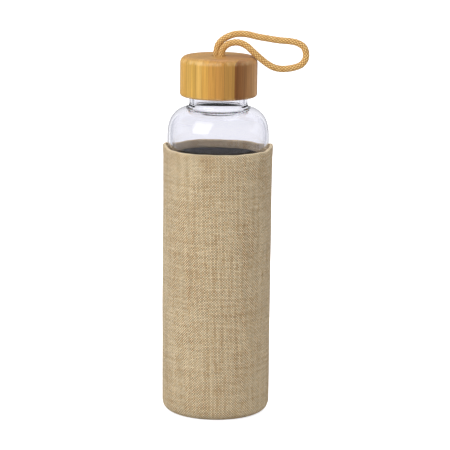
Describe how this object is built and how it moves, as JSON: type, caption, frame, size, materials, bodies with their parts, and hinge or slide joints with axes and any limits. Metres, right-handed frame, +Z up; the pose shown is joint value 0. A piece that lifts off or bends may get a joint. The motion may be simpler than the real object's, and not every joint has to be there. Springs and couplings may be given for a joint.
{
  "type": "glass water bottle",
  "caption": "Clear glass water bottle in a lined woven sleeve, closed by a bamboo screw cap with a braided carry loop.",
  "frame": {"origin": "centre of the sleeve's base, on the surface the bottle stands on", "axes": "+Z up along the bottle's axis; +X towards the side the carry loop lies to"},
  "size_m": [0.0925, 0.07, 0.2491],
  "materials": {
    "woven_fabric": "coarse jute-look weave",
    "lining_fabric": "black matte cloth",
    "clear_glass": "clear polished glass",
    "silicone": "translucent matte silicone",
    "liner_plastic": "natural moulded plastic",
    "bamboo": "turned laminated bamboo, satin lacquer",
    "braided_cord": "round braid"
  },
  "bodies": {
    "sleeve": {"sleeve_shell": "woven_fabric", "sleeve_base": "woven_fabric", "sleeve_lining": "lining_fabric", "lining_base": "lining_fabric"},
    "bottle": {"glass_bottle": "clear_glass"},
    "seal": {"cap_gasket": "silicone"},
    "cap": {"cap_liner": "liner_plastic", "bamboo_cap": "bamboo"},
    "loop": {"cord_knot": "braided_cord", "carry_cord": "braided_cord"}
  },
  "joints": [
    {"name": "bottle_slide", "type": "slide", "parent": "sleeve", "child": "bottle", "axis": [0, 0, 1], "range_m": [0, 0.18]},
    {"name": "cap_lift", "type": "slide", "parent": "bottle", "child": "seal", "axis": [0, 0, 1], "range_m": [0, 0.0169]},
    {"name": "cap_turn", "type": "hinge", "parent": "seal", "child": "cap", "pos_m": [0, 0, 0.22], "axis": [0, 0, 1], "range_deg": [0, 1440]},
    {"name": "loop_swivel", "type": "hinge", "parent": "cap", "child": "loop", "pos_m": [0, 0, 0.233], "axis": [0, 0, 1], "continuous": true}
  ],
  "couplings": [
    {"joint": "cap_lift", "follows": "cap_turn", "m_per_rad": 0.00066845}
  ]
}
